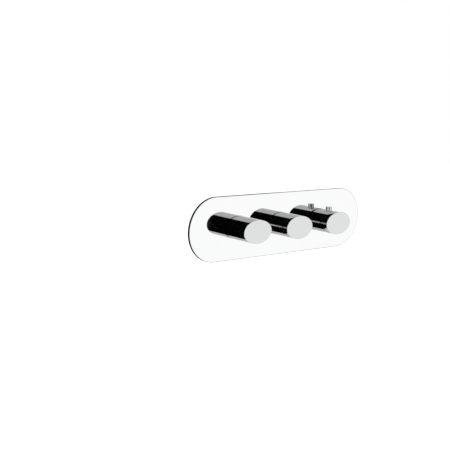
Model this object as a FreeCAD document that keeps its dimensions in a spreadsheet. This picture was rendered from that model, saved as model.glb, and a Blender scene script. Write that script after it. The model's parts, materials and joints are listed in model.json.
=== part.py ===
import FreeCAD, Part
import Sketcher
import math
import os
import re

# Concealed thermostatic shower valve: a stadium trim plate with two flow knobs and one temperature
# knob, and the brass body, headworks, thermostatic cartridge and check valves that sit in the wall.
# Frame: X along the plate, +Y into the wall, +Z up. The origin is the centre of the plate, in the
# plane of the finished wall, so the knobs stand towards -Y. Every length is in millimetres.

SIZES = {
    # trim plate
    "plate_length": 410,
    "plate_width": 110,
    "plate_thickness": 4,
    "plate_edge_radius": 0.25,
    "station_spacing": 98,
    "gasket_width": 4,
    "gasket_thickness": 2,
    "gasket_inset": 3,
    # knobs
    "knob_width": 62,
    "knob_height": 40,
    "knob_reach": 48,
    "knob_wall": 2.8,
    "knob_cavity_depth": 38,
    "knob_end_chamfer": 0.3,
    "knob_gap": 0.8,
    "scale_ring_thickness": 1.6,
    "scale_ring_step": 0.8,
    "adapter_length": 14,
    "adapter_bore_depth": 12,
    "spline_teeth": 20,
    "spline_diameter": 8,
    "spline_depth": 0.4,
    "spline_gap_width": 0.32,
    "grub_diameter": 5,
    "grub_length": 8,
    # safety button on the temperature knob
    "button_diameter": 10.5,
    "button_proud": 6,
    "button_reach": 22,
    "button_travel": 2,
    "button_flange_step": 1.1,
    "button_flange_thickness": 1.5,
    "button_spring_height": 5.5,
    "button_spring_wire": 0.8,
    "button_spring_turns": 3,
    "tab_width": 4,
    "tab_thickness": 1.6,
    "stop_hub_wall": 2.2,
    "stop_web_thickness": 2,
    "stop_rim_wall": 0.8,
    # clearances
    "push_fit": 0.05,
    "running_fit": 0.05,
    "free_gap": 0.4,
    "plate_clearance": 0.2,
    # sleeves that carry the plate
    "sleeve_wall": 1.8,
    "sleeve_nose": 6.5,
    "sleeve_collar_wall": 2.4,
    "sleeve_collar_length": 7,
    "sleeve_shoulder": 3,
    "plate_ring_section": 1.2,
    # valve body
    "socket_face_depth": 18,
    "flow_socket_diameter": 36,
    "flow_bore_diameter": 21,
    "thermo_socket_diameter": 42,
    "thermo_bore_diameter": 28,
    "nut_bore_diameter": 32,
    "nut_thread_length": 10,
    "seat_depth": 46,
    "seat_hole_diameter": 13,
    "gallery_depth": 66,
    "gallery_bore_diameter": 14,
    "gallery_diameter": 24,
    "gallery_overhang": 4,
    "back_step": 0.6,
    "neck_step": 1,
    "plug_length": 10,
    "plug_head": 3,
    "plug_socket_flats": 8,
    "plug_socket_depth": 6,
    "plug_thread_step": 1.5,
    "plug_head_step": 1.5,
    "chamber_diameter": 25,
    "chamber_depth": 73,
    "outlet_depth": 40,
    "outlet_window_width": 6,
    "port_height": 42,
    "port_boss_diameter": 28,
    "port_bore_diameter": 18.6,
    "port_thread_length": 14,
    "port_channel_diameter": 14,
    "channel_overlap": 2,
    "inlet_offset": 36,
    "inlet_depth": 45,
    "inlet_boss_diameter": 29,
    "inlet_boss_drop": 26,
    "inlet_bore_diameter": 16,
    "arm_diameter": 22,
    "hot_port_depth": 39,
    "cold_port_depth": 51,
    "cross_hole_diameter": 8,
    # rail and ears
    "ear_offset": 49,
    "ear_height": 18,
    "ear_radius": 8,
    "ear_thickness": 6,
    "rail_length": 200,
    "rail_height": 72,
    "rail_thickness": 2,
    "rail_corner_radius": 6,
    "slot_left": 74,
    "slot_right": 30,
    "slot_height": 28,
    "slot_width": 6.5,
    "slot_length": 10,
    "rail_screw_diameter": 4,
    "rail_screw_length": 8,
    "countersink_depth": 1.8,
    # headworks
    "hex_clearance": 1.2,
    "hex_thickness": 6,
    "hex_overlap": 1,
    "housing_nose": 10,
    "housing_nose_diameter": 16,
    "headwork_thread_length": 12,
    "barrel_wall": 1.6,
    "barrel_slack": 0.5,
    "disc_diameter": 15.1,
    "disc_thickness": 3,
    "disc_opening_inner": 2,
    "disc_opening_outer": 6,
    "disc_opening_half_angle": 38,
    "seat_seal_thickness": 2,
    "fork_height": 4.8,
    "fork_web": 1.5,
    "fork_lug_width": 4,
    "fork_lug_inner": 3,
    "fork_lug_depth": 1.4,
    "spindle_diameter": 10,
    "clip_thickness": 1,
    "clip_diameter": 13,
    "clip_groove_depth": 0.8,
    "spindle_ring_section": 1.3,
    # thermostatic cartridge
    "cartridge_nose": 14,
    "cartridge_neck_diameter": 21,
    "port_groove_depth": 2,
    "port_groove_width": 6.5,
    "port_window_width": 9.6,
    "land_width": 5,
    "cartridge_tail": 6,
    "cartridge_ring_section": 2.4,
    "spool_diameter": 19.2,
    "spool_wall": 1.4,
    "spool_length": 7,
    "spool_gap": 1.5,
    "spool_rib_width": 1.6,
    "spool_hub_wall": 1.2,
    "seat_lip_radius": 7,
    "seat_lip_thickness": 1,
    "regulating_nut_diameter": 17,
    "regulating_nut_wall": 1.9,
    "regulating_thread_diameter": 8,
    "regulating_thread_length": 5,
    "regulating_nut_setback": 4,
    "regulating_nut_end_room": 2,
    "nut_chamber_wall": 2,
    "spindle_flange_step": 1,
    "spindle_flange_thickness": 2,
    "wax_diameter": 8.6,
    "wax_flange_thickness": 1.5,
    "wax_pin_diameter": 4,
    "wax_pin_gap": 2,
    "wax_tail_length": 4,
    "wax_tail_step": 1,
    "wax_tail_gap": 2,
    "base_length": 16,
    "base_wall": 2.1,
    "base_floor": 2,
    "base_window_width": 7.7,
    "base_window_margin": 1,
    "overload_wire": 1.2,
    "overload_turns": 3,
    "return_wire": 1.1,
    "return_turns": 4,
    # inlet connectors and check valves
    "connector_thread_diameter": 24,
    "connector_thread_length": 12,
    "connector_hex_flats": 27,
    "connector_hex_thickness": 6,
    "connector_collar_diameter": 27,
    "connector_ring_section": 1.6,
    "check_diameter": 15.1,
    "check_length": 18,
    "check_wall": 1.3,
    "check_floor": 2,
    "poppet_diameter": 10,
    "poppet_head": 1.5,
    "poppet_cone": 1,
    "poppet_edge": 0.5,
    "poppet_seat_width": 1,
    "poppet_stem_diameter": 3,
    "check_spring_wire": 0.7,
    "check_spring_turns": 4,
    "check_spring_gap": 1,
    "check_spoke": 0.8,
    "strainer_height": 5,
    "strainer_wall": 1,
    "mesh_ring_diameter": 9.2,
    "mesh_hole_diameter": 2.6,
}

doc = FreeCAD.newDocument("thermostatic_shower_valve")
sheet = doc.addObject("Spreadsheet::Sheet", "Sizes")
for row, (alias, number) in enumerate(SIZES.items(), 1):
    sheet.set(f"A{row}", alias)
    sheet.set(f"B{row}", str(number))
    sheet.setAlias(f"B{row}", alias)
doc.recompute()

# Lengths worked out from the driving sizes, written as expressions of the sheet. Those that end in
# _Y are places along the wall's depth, negative in front of the wall.
KNOB_R = "(knob_height / 2)"
CAVITY_R = f"({KNOB_R} - knob_wall)"
SLEEVE_R = f"({CAVITY_R} - free_gap)"
SLEEVE_BORE_R = f"({SLEEVE_R} - sleeve_wall)"
PLATE_HOLE_R = f"({SLEEVE_R} + plate_clearance)"
CAVITY_END_Y = "(-plate_thickness - knob_cavity_depth)"
KNOB_END_Y = "(-plate_thickness - knob_reach)"
FLOW_BASE_Y = "(-plate_thickness - knob_gap)"
THERMO_BASE_Y = f"({FLOW_BASE_Y} - scale_ring_thickness)"
ADAPTER_BACK_Y = f"({CAVITY_END_Y} + adapter_length)"
SPINDLE_TIP_Y = f"({ADAPTER_BACK_Y} - adapter_bore_depth + free_gap)"
GRUB_Y = f"({CAVITY_END_Y} + adapter_length / 2)"
BUTTON_Y = "(-plate_thickness - button_reach)"
BUTTON_R = "(button_diameter / 2)"
BUTTON_FLANGE_R = f"({BUTTON_R} + button_flange_step)"
BUTTON_FLANGE_Z = f"(sqrt({CAVITY_R} ^ 2 - {BUTTON_FLANGE_R} ^ 2) - free_gap)"
BUTTON_POCKET_Z = f"({BUTTON_FLANGE_Z} - button_flange_thickness - button_spring_height)"
TAB_TOP_Z = f"({BUTTON_FLANGE_Z} - button_flange_thickness + tab_thickness / 2)"
SHAFT_R = "(spindle_diameter / 2)"
SHAFT_BORE_R = f"({SHAFT_R} + running_fit)"
NOSE_R = "(housing_nose_diameter / 2)"
STOP_FRONT_Y = "(-cartridge_nose)"
STOP_BACK_Y = "(-sleeve_nose - free_gap)"
FLOW_BORE_R = "(flow_bore_diameter / 2)"
HEX_FRONT_Y = "(socket_face_depth - hex_thickness)"
HEX_R = f"({SLEEVE_BORE_R} - hex_clearance)"
DISC_R = "(disc_diameter / 2)"
DISC_BORE_R = f"({DISC_R} + running_fit)"
BARREL_R = f"({DISC_BORE_R} + barrel_wall)"
FIXED_DISC_BACK_Y = "(seat_depth - seat_seal_thickness)"
MOVING_DISC_BACK_Y = f"({FIXED_DISC_BACK_Y} - disc_thickness)"
MOVING_DISC_FRONT_Y = f"({MOVING_DISC_BACK_Y} - disc_thickness)"
FORK_FRONT_Y = f"({MOVING_DISC_FRONT_Y} - fork_height)"
THERMO_BORE_R = "(thermo_bore_diameter / 2)"
CARTRIDGE_R = f"({THERMO_BORE_R} - push_fit)"
NUT_BACK_Y = "(socket_face_depth + nut_thread_length)"
MIDDLE_Y = "((hot_port_depth + cold_port_depth) / 2)"
GROOVE_R = f"({CARTRIDGE_R} - port_groove_depth)"
HOT_GROOVE_BACK_Y = f"({MIDDLE_Y} - land_width / 2)"
HOT_GROOVE_FRONT_Y = f"({HOT_GROOVE_BACK_Y} - port_groove_width)"
COLD_GROOVE_FRONT_Y = f"({MIDDLE_Y} + land_width / 2)"
COLD_GROOVE_BACK_Y = f"({COLD_GROOVE_FRONT_Y} + port_groove_width)"
CARTRIDGE_END_Y = f"({COLD_GROOVE_BACK_Y} + cartridge_tail)"
CARTRIDGE_RING_PLACES = (f"(({NUT_BACK_Y} + {HOT_GROOVE_FRONT_Y}) / 2)", MIDDLE_Y,
                         f"(({COLD_GROOVE_BACK_Y} + {CARTRIDGE_END_Y}) / 2)")
SPOOL_R = "(spool_diameter / 2)"
SPOOL_BORE_R = f"({SPOOL_R} + running_fit)"
SPOOL_FRONT_Y = f"({MIDDLE_Y} - spool_length / 2)"
SPOOL_BACK_Y = f"({MIDDLE_Y} + spool_length / 2)"
HOT_SEAT_Y = f"({SPOOL_FRONT_Y} - spool_gap)"
COLD_SEAT_Y = f"({SPOOL_BACK_Y} + spool_gap)"
NUT_CHAMBER_R = "(regulating_nut_diameter / 2 + running_fit)"
NUT_CHAMBER_Y = "(socket_face_depth + nut_chamber_wall)"
BODY_BACK_Y = "(gallery_depth + gallery_diameter / 2 + back_step)"
GALLERY_LEFT_X = "(-station_spacing - flow_socket_diameter / 2 - gallery_overhang)"
HOT_X = "(station_spacing - inlet_offset)"
COLD_X = "(station_spacing + inlet_offset)"
CONNECTOR_TOP_Z = "(-inlet_boss_drop + connector_thread_length)"
PORT_SHOULDER_Z = "(-port_height + port_thread_length)"
CHECK_R = "(check_diameter / 2)"
CHECK_BOTTOM_Z = f"({PORT_SHOULDER_Z} + strainer_height)"
CHECK_TOP_Z = f"({CHECK_BOTTOM_Z} + check_length)"
POPPET_SEAT_Z = f"({CHECK_BOTTOM_Z} + check_floor)"
CHECK_SPRING_Z = f"({POPPET_SEAT_Z} + poppet_head + check_spring_gap)"
FLOW_RING_Y = "(socket_face_depth + headwork_thread_length / 2)"
THERMO_RING_Y = "(socket_face_depth / 2)"
NUT_FRONT_Y = f"({NUT_CHAMBER_Y} + regulating_nut_setback)"
NUT_WALL_Y = f"({NUT_FRONT_Y} + regulating_thread_length)"
THREAD_END_Y = f"({NUT_WALL_Y} - free_gap)"
LIP_FRONT_Y = f"({HOT_SEAT_Y} - seat_lip_thickness)"
NUT_END_Y = f"({LIP_FRONT_Y} - regulating_nut_end_room)"
WAX_FLANGE_Y = f"({NUT_END_Y} - wax_flange_thickness)"
NUT_CAVITY_R = "(regulating_nut_diameter / 2 - regulating_nut_wall)"
WAX_R = "(wax_diameter / 2)"
BASE_FLOOR_Y = f"({COLD_SEAT_Y} + base_length - base_floor)"
BASE_BORE_R = f"({SPOOL_R} - base_wall)"
PLUG_R = "(gallery_bore_diameter / 2 + plug_thread_step)"
RAIL_HOLE_R = "(rail_screw_diameter / 2 + 2 * push_fit)"

LEFT_X = "(-station_spacing)"
CENTRE_X = "0"
THERMO_X = "station_spacing"
STRAIGHT = "(plate_length / 2 - plate_width / 2)"

# The middle of the stop ring's solid arc, in degrees about the axis from +X towards +Z, and half of
# its width. The tab of the button rests at 90 degrees.
STOP_BLOCK_MIDDLE = 240
STOP_BLOCK_HALF = "65"

FACING_Y = FreeCAD.Rotation(FreeCAD.Vector(1, 0, 0), -90)
FACING_X = FreeCAD.Rotation(FreeCAD.Vector(0, 1, 0), 90)
FACING_Z = FreeCAD.Rotation()
DOWN = FreeCAD.Rotation(FreeCAD.Vector(1, 0, 0), 180)

sub_parts = []


def bound(expression):
    """The expression with each driving size's name turned into a reference to the sheet."""
    return re.sub(r"[a-z_]+", lambda m: "Sizes." + m[0] if m[0] in SIZES else m[0], expression)


def finished(item, label):
    """Names a finished piece and puts it on the list of pieces to export."""
    item.Label = label
    sub_parts.append(item)
    return item


def placed(item, place):
    """Binds an object's place to three expressions."""
    for axis, expression in zip("xyz", place):
        if expression != "0":
            item.setExpression(f"Placement.Base.{axis}", bound(expression))
    return item


def new_body(label, place=("0", "0", "0")):
    """An empty body, which is one finished piece."""
    return finished(placed(doc.addObject("PartDesign::Body", label), place), label)


def new_sketch(body, name, role="XY_Plane", offset="0"):
    """A sketch on one of the body's own origin planes, moved along its normal by offset."""
    sketch = body.newObject("Sketcher::SketchObject", f"{body.Name}_{name}")
    plane = next(feature for feature in body.Origin.OriginFeatures if feature.Role == role)
    sketch.AttachmentSupport = [(plane, "")]
    sketch.MapMode = "FlatFace"
    if offset != "0":
        sketch.setExpression("AttachmentOffset.Base.z", bound(offset))
    return sketch


def constrain(sketch, kind, *where, to=None):
    """Adds one constraint, bound to an expression where one is given."""
    index = sketch.addConstraint(Sketcher.Constraint(kind, *where))
    if to is not None:
        sketch.setExpression(f"Constraints[{index}]", bound(to))


def pin_point(sketch, geometry, point, x, y):
    """Holds a point of the sketch at the place given by two expressions."""
    spot = sketch.getPoint(geometry, point)
    for kind, start, to, axis in (("DistanceX", spot.x, x, -2), ("DistanceY", spot.y, y, -1)):
        if to == "0":
            constrain(sketch, "PointOnObject", geometry, point, axis)
        else:
            constrain(sketch, kind, geometry, point, start, to=to)


def add_polygon(sketch, points):
    """A closed outline of straight lines through points that are pairs of expressions."""
    count = len(points)
    turns = [2 * math.pi * k / count for k in range(count)]
    starts = [FreeCAD.Vector(20 + 10 * math.cos(a), 10 * math.sin(a), 0) for a in turns]
    first = sketch.GeometryCount
    for k in range(count):
        sketch.addGeometry(Part.LineSegment(starts[k], starts[(k + 1) % count]), False)
    for k in range(count):
        sketch.addConstraint(Sketcher.Constraint("Coincident", first + k, 2, first + (k + 1) % count, 1))
    for k, (x, y) in enumerate(points):
        pin_point(sketch, first + k, 1, x, y)


def add_circle(sketch, x, y, radius):
    """A circle whose centre and radius are expressions."""
    circle = Part.Circle(FreeCAD.Vector(1, 1, 0), FreeCAD.Vector(0, 0, 1), 5)
    index = sketch.addGeometry(circle, False)
    pin_point(sketch, index, 3, x, y)
    constrain(sketch, "Radius", index, 5, to=radius)


def add_oval(sketch, width, height):
    """An ellipse round the sketch's origin, longest along x."""
    oval = Part.Ellipse(FreeCAD.Vector(10, 0, 0), FreeCAD.Vector(0, 5, 0), FreeCAD.Vector())
    index = sketch.addGeometry(oval, False)
    sketch.exposeInternalGeometry(index)
    long_axis, short_axis = index + 1, index + 2
    constrain(sketch, "Coincident", index, 3, -1, 1)
    constrain(sketch, "Horizontal", long_axis)
    constrain(sketch, "Distance", long_axis, 20, to=width)
    constrain(sketch, "Distance", short_axis, 10, to=height)


def add_stadium(sketch, x, y, half_run, radius):
    """Two half circles joined by two straight runs, each run 2 * half_run long."""
    up = FreeCAD.Vector(0, 0, 1)
    right = Part.Circle(FreeCAD.Vector(10, 0, 0), up, 5)
    left = Part.Circle(FreeCAD.Vector(-10, 0, 0), up, 5)
    first = sketch.addGeometry(Part.ArcOfCircle(right, -math.pi / 2, math.pi / 2), False)
    sketch.addGeometry(Part.LineSegment(FreeCAD.Vector(10, 5, 0), FreeCAD.Vector(-10, 5, 0)), False)
    sketch.addGeometry(Part.ArcOfCircle(left, math.pi / 2, 3 * math.pi / 2), False)
    sketch.addGeometry(Part.LineSegment(FreeCAD.Vector(-10, -5, 0), FreeCAD.Vector(10, -5, 0)), False)
    for k in range(4):
        constrain(sketch, "Tangent", first + k, 2, first + (k + 1) % 4, 1)
    pin_point(sketch, first, 3, f"{x} + {half_run}", y)
    pin_point(sketch, first + 2, 3, f"{x} - {half_run}", y)
    constrain(sketch, "Equal", first, first + 2)
    constrain(sketch, "Radius", first, 5, to=radius)


def add_sector(sketch, inner, outer, middle_angle, half_angle):
    """A ring sector about the sketch's origin. Angles are in degrees from the sketch's X axis."""
    start = math.radians(middle_angle - 30)
    end = math.radians(middle_angle + 30)
    up = FreeCAD.Vector(0, 0, 1)

    def point(radius, angle):
        return FreeCAD.Vector(radius * math.cos(angle), radius * math.sin(angle), 0)

    wide = Part.ArcOfCircle(Part.Circle(FreeCAD.Vector(), up, 6), start, end)
    narrow = Part.ArcOfCircle(Part.Circle(FreeCAD.Vector(), up, 3), start, end)
    outer_arc = sketch.addGeometry(wide, False)
    inner_arc = sketch.addGeometry(narrow, False)
    side_a = sketch.addGeometry(Part.LineSegment(point(3, start), point(6, start)), False)
    side_b = sketch.addGeometry(Part.LineSegment(point(3, end), point(6, end)), False)
    constrain(sketch, "Coincident", outer_arc, 3, -1, 1)
    constrain(sketch, "Coincident", inner_arc, 3, -1, 1)
    constrain(sketch, "Coincident", side_a, 1, inner_arc, 1)
    constrain(sketch, "Coincident", side_a, 2, outer_arc, 1)
    constrain(sketch, "Coincident", side_b, 1, inner_arc, 2)
    constrain(sketch, "Coincident", side_b, 2, outer_arc, 2)
    constrain(sketch, "Radius", outer_arc, 6, to=outer)
    constrain(sketch, "Radius", inner_arc, 3, to=inner)
    for side, sign, angle in ((side_a, -1, start), (side_b, 1, end)):
        constrain(sketch, "Angle", side, angle, to=f"{middle_angle} + {sign} * {half_angle}")


def revolve(body, name, points, role="XY_Plane", axis="V_Axis", cut=False):
    """Turns a profile about the sketch's axis, as material or as a cut."""
    sketch = new_sketch(body, name, role)
    add_polygon(sketch, points)
    kind = "PartDesign::Groove" if cut else "PartDesign::Revolution"
    feature = body.newObject(kind, f"{body.Name}_{name}_turn")
    feature.Profile = sketch
    feature.ReferenceAxis = (sketch, [axis])
    feature.Angle = 360
    return feature


def extrude(body, sketch, name, length=None, cut=False, reverse=False, both=False):
    """Pads a sketch, or cuts it away. With no length the cut goes through everything."""
    feature = body.newObject("PartDesign::Pocket" if cut else "PartDesign::Pad", f"{body.Name}_{name}")
    feature.Profile = sketch
    feature.Reversed = reverse
    if length is None:
        feature.Type = "ThroughAll"
    else:
        feature.setExpression("Length", bound(length))
    if both:
        feature.SideType = "Symmetric"
    return feature


def spin(body, feature, count, name, axis="Y_Axis"):
    """Repeats a feature evenly round one of the body's own axes."""
    pattern = body.newObject("PartDesign::PolarPattern", f"{body.Name}_{name}")
    line = next(item for item in body.Origin.OriginFeatures if item.Role == axis)
    pattern.Originals = [feature]
    pattern.Axis = (line, [""])
    pattern.Angle = 360
    pattern.Occurrences = int(count)
    body.Tip = pattern
    return pattern


def hexagon(radius):
    """Six corners on a circle, as pairs of expressions."""
    return [(f"{radius} * cos({60 * k})" if k != 3 else f"-{radius}",
             f"{radius} * sin({60 * k})" if k % 3 else "0") for k in range(6)]


def turned_piece(label, place, points, role="XY_Plane"):
    """A piece that is one turned profile: pairs of radius and place along the axis."""
    body = new_body(label, place)
    revolve(body, "profile", points, role)
    return body


def ring_piece(label, places, radius, section, along_z=False):
    """Square-section seal rings of one size, each on its own place, as one group."""
    rings = []
    for number, place in enumerate(places, 1):
        axis = 2 if along_z else 1
        facing = FACING_Z if along_z else FACING_Y
        start = list(place)
        start[axis] = f"{place[axis]} - {section} / 2"
        ring = doc.addObject("Part::Cut", f"{label}_{number}")
        ring.Base = cylinder(f"{label}_{number}_outside", facing, start, radius, section)
        ring.Tool = cylinder(f"{label}_{number}_inside", facing, start, f"{radius} - {section}", section)
        rings.append(ring)
    group = doc.addObject("Part::Compound", label)
    group.Links = rings
    return finished(group, label)


def spring_piece(label, place, mean_radius, wire, turns, length, role="XY_Plane"):
    """A helical spring of square wire, wound as one unbroken coil along the sketch's Y axis."""
    body = new_body(label, place)
    section = new_sketch(body, "wire", role)
    inner = f"({mean_radius} - {wire} / 2)"
    outer = f"({mean_radius} + {wire} / 2)"
    add_polygon(section, [(inner, "0"), (outer, "0"), (outer, wire), (inner, wire)])
    coil = body.newObject("PartDesign::AdditiveHelix", f"{label}_coil")
    coil.Profile = section
    coil.ReferenceAxis = (section, ["V_Axis"])
    coil.Mode = 1
    coil.setExpression("Turns", bound(turns))
    coil.setExpression("Pitch", bound(f"({length} - {wire}) / {turns}"))


def trim_plate():
    body = new_body("trim_plate")
    outline = new_sketch(body, "outline", "XZ_Plane")
    add_stadium(outline, "0", "0", STRAIGHT, "plate_width / 2")
    plate = extrude(body, outline, "plate", "plate_thickness")
    doc.recompute()
    front = max(range(len(plate.Shape.Faces)), key=lambda k: -plate.Shape.Faces[k].CenterOfMass.y)
    edge = body.newObject("PartDesign::Fillet", "trim_plate_edge")
    edge.Base = (plate, [f"Face{front + 1}"])
    edge.setExpression("Radius", bound("plate_edge_radius"))
    holes = new_sketch(body, "holes", "XZ_Plane")
    for x in (LEFT_X, CENTRE_X, THERMO_X):
        add_circle(holes, x, "0", PLATE_HOLE_R)
    extrude(body, holes, "knob_holes", cut=True, both=True)
    groove = new_sketch(body, "groove", "XZ_Plane")
    add_stadium(groove, "0", "0", STRAIGHT, "plate_width / 2 - gasket_inset")
    add_stadium(groove, "0", "0", STRAIGHT, "plate_width / 2 - gasket_inset - gasket_width")
    extrude(body, groove, "gasket_groove", "gasket_thickness", cut=True, reverse=True)


def plate_gasket():
    body = new_body("plate_gasket")
    outline = new_sketch(body, "outline", "XZ_Plane")
    add_stadium(outline, "0", "0", STRAIGHT, "plate_width / 2 - gasket_inset")
    add_stadium(outline, "0", "0", STRAIGHT, "plate_width / 2 - gasket_inset - gasket_width")
    extrude(body, outline, "strip", "gasket_thickness")


def knob(label, x, base_y):
    """An oval handle with a flat end, bored from behind for its hub and hollowed beside the sleeve."""
    body = new_body(label, (x, "0", "0"))
    outline = new_sketch(body, "outline", "XZ_Plane", offset=f"-({base_y})")
    add_oval(outline, "knob_width", "knob_height")
    extrude(body, outline, "oval", f"{base_y} - ({KNOB_END_Y})")
    lobes = new_sketch(body, "lobes", "XZ_Plane", offset=f"-({ADAPTER_BACK_Y})")
    add_oval(lobes, "knob_width - 2 * knob_wall", "knob_height - 4 * knob_wall")
    extrude(body, lobes, "hollow_sides", cut=True)
    mouth = new_sketch(body, "mouth", "XZ_Plane", offset=f"-({CAVITY_END_Y})")
    add_circle(mouth, "0", "0", CAVITY_R)
    cup = extrude(body, mouth, "cavity", cut=True)
    doc.recompute()
    front = min(range(len(cup.Shape.Faces)), key=lambda k: cup.Shape.Faces[k].BoundBox.Center.y)
    edge = body.newObject("PartDesign::Chamfer", f"{label}_edge")
    edge.Base = (cup, [f"Face{front + 1}"])
    edge.setExpression("Size", bound("knob_end_chamfer"))
    screw_hole = new_sketch(body, "grub_hole")
    add_circle(screw_hole, "0", GRUB_Y, "grub_diameter / 2 + push_fit")
    extrude(body, screw_hole, "grub_passage", cut=True)
    return body


def adapter(label, x, back_y):
    """The splined hub that fills the knob's cavity and slides on the spindle."""
    body = new_body(label, (x, "0", "0"))
    outer = f"({CAVITY_R} - push_fit)"
    bore = "(spline_diameter / 2 + push_fit)"
    bore_end_y = f"({ADAPTER_BACK_Y} - adapter_bore_depth)"
    points = [("0", CAVITY_END_Y), (outer, CAVITY_END_Y), (outer, back_y)]
    if back_y != ADAPTER_BACK_Y:
        wide = f"({SHAFT_R} + free_gap)"
        points += [(wide, back_y), (wide, ADAPTER_BACK_Y)]
    points += [(bore, points[-1][1]), (bore, bore_end_y), ("0", bore_end_y)]
    revolve(body, "hub", points)
    screw_hole = new_sketch(body, "grub_hole", offset=f"-({KNOB_R} - grub_length - free_gap)")
    add_circle(screw_hole, "0", GRUB_Y, "grub_diameter / 2 + push_fit")
    extrude(body, screw_hole, "grub_passage", cut=True)
    return body


def grub_screw(label, x):
    """A hexagon-socket set screw that enters the knob from below."""
    body = new_body(label, (x, GRUB_Y, "0"))
    low = f"(-{KNOB_R} + free_gap)"
    high = f"({low} + grub_length)"
    point = "grub_diameter / 4"
    side = "(grub_diameter / 2)"
    revolve(body, "screw", [("0", low), (side, low), (side, f"{high} - {point}"), (point, high), ("0", high)],
            "XZ_Plane")
    socket = new_sketch(body, "socket", offset=low)
    add_polygon(socket, hexagon("(grub_diameter / 4)"))
    extrude(body, socket, "hexagon", "grub_length / 3", cut=True, reverse=True)


def cut_spline(body):
    """Teeth round the front end of a spindle."""
    tooth = new_sketch(body, "tooth_gap", "XZ_Plane", offset=f"-({SPINDLE_TIP_Y})")
    root = "(spline_diameter / 2 - spline_depth)"
    clear_of_rim = f"{root} + 2 * spline_depth"
    add_polygon(tooth, [(root, "0"), (clear_of_rim, "spline_gap_width"), (clear_of_rim, "-spline_gap_width")])
    gap = extrude(body, tooth, "tooth", f"{ADAPTER_BACK_Y} - {SPINDLE_TIP_Y}", cut=True)
    spin(body, gap, sheet.get("spline_teeth"), "spline")


def shaft_profile(nose_y, ring_y):
    """The front part of every spindle: splined tip, clip groove at the housing's nose, ring groove."""
    tip = "(spline_diameter / 2)"
    clip_floor = f"({SHAFT_R} - clip_groove_depth)"
    ring_floor = f"({SHAFT_R} - spindle_ring_section - running_fit)"
    clip_back = f"({nose_y} - push_fit)"
    clip_front = f"({clip_back} - clip_thickness - push_fit)"
    ring_half = "(spindle_ring_section / 2 + push_fit)"
    return [("0", SPINDLE_TIP_Y), (tip, SPINDLE_TIP_Y), (tip, ADAPTER_BACK_Y), (SHAFT_R, ADAPTER_BACK_Y),
            (SHAFT_R, clip_front), (clip_floor, clip_front), (clip_floor, clip_back), (SHAFT_R, clip_back),
            (SHAFT_R, f"{ring_y} - {ring_half}"), (ring_floor, f"{ring_y} - {ring_half}"),
            (ring_floor, f"{ring_y} + {ring_half}"), (SHAFT_R, f"{ring_y} + {ring_half}")]


def spindle_clip(label, x, nose_y):
    """The snap ring that keeps a spindle from sliding back into its housing."""
    back = f"({nose_y} - push_fit)"
    front = f"({back} - clip_thickness)"
    inner = f"({SHAFT_R} - clip_groove_depth + push_fit)"
    profile = [(inner, front), ("clip_diameter / 2", front), ("clip_diameter / 2", back), (inner, back)]
    body = turned_piece(label, (x, "0", "0"), profile)
    gap = new_sketch(body, "opening", "XZ_Plane", offset=f"-({back})")
    half = "(spindle_diameter / 4 - clip_groove_depth / 2)"
    add_polygon(gap, [("0", half), ("clip_diameter", half), ("clip_diameter", f"-{half}"), ("0", f"-{half}")])
    extrude(body, gap, "open_side", "2 * clip_thickness", cut=True, both=True)


def spindle_ring(label, x, ring_y):
    ring_piece(label, [(x, ring_y, "0")], f"({SHAFT_R} + running_fit / 2)", "spindle_ring_section")


def flow_spindle(label, x):
    """Splined at the front, with a fork at the back whose two lugs turn the moving disc."""
    body = new_body(label, (x, "0", "0"))
    web_back = f"({FORK_FRONT_Y} + fork_web)"
    revolve(body, "shaft", shaft_profile("(-housing_nose)", FLOW_RING_Y)
            + [(SHAFT_R, FORK_FRONT_Y), (DISC_R, FORK_FRONT_Y), (DISC_R, web_back), ("0", web_back)])
    lugs = new_sketch(body, "lugs", "XZ_Plane", offset=f"-({web_back})")
    for sign in ("", "-"):
        near = f"{sign}fork_lug_inner"
        far = f"{sign}disc_opening_outer"
        add_polygon(lugs, [("-fork_lug_width / 2", near), ("fork_lug_width / 2", near),
                           ("fork_lug_width / 2", far), ("-fork_lug_width / 2", far)])
    extrude(body, lugs, "fork", "fork_height - fork_web + fork_lug_depth", reverse=True)
    cut_spline(body)


def disc(label, x, front_y, opening_angle, notched):
    """A ceramic disc with two openings on opposite sides."""
    back_y = f"{front_y} + disc_thickness"
    profile = [("0", front_y), (DISC_R, front_y), (DISC_R, back_y), ("0", back_y)]
    body = turned_piece(label, (x, "0", "0"), profile)
    opening = new_sketch(body, "openings", "XZ_Plane")
    for side in (0, 180):
        add_sector(opening, "disc_opening_inner", "disc_opening_outer", opening_angle + side,
                   "disc_opening_half_angle")
    extrude(body, opening, "openings_cut", cut=True, both=True)
    if notched:
        notch = new_sketch(body, "notches", "XZ_Plane", offset=f"-({front_y})")
        half = "(fork_lug_width / 2 + push_fit)"
        for sign in ("", "-"):
            near = f"{sign}(fork_lug_inner - push_fit)"
            far = f"{sign}(disc_opening_outer + push_fit)"
            add_polygon(notch, [(f"-{half}", near), (half, near), (half, far), (f"-{half}", far)])
        extrude(body, notch, "notch", "fork_lug_depth + push_fit", cut=True)


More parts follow.
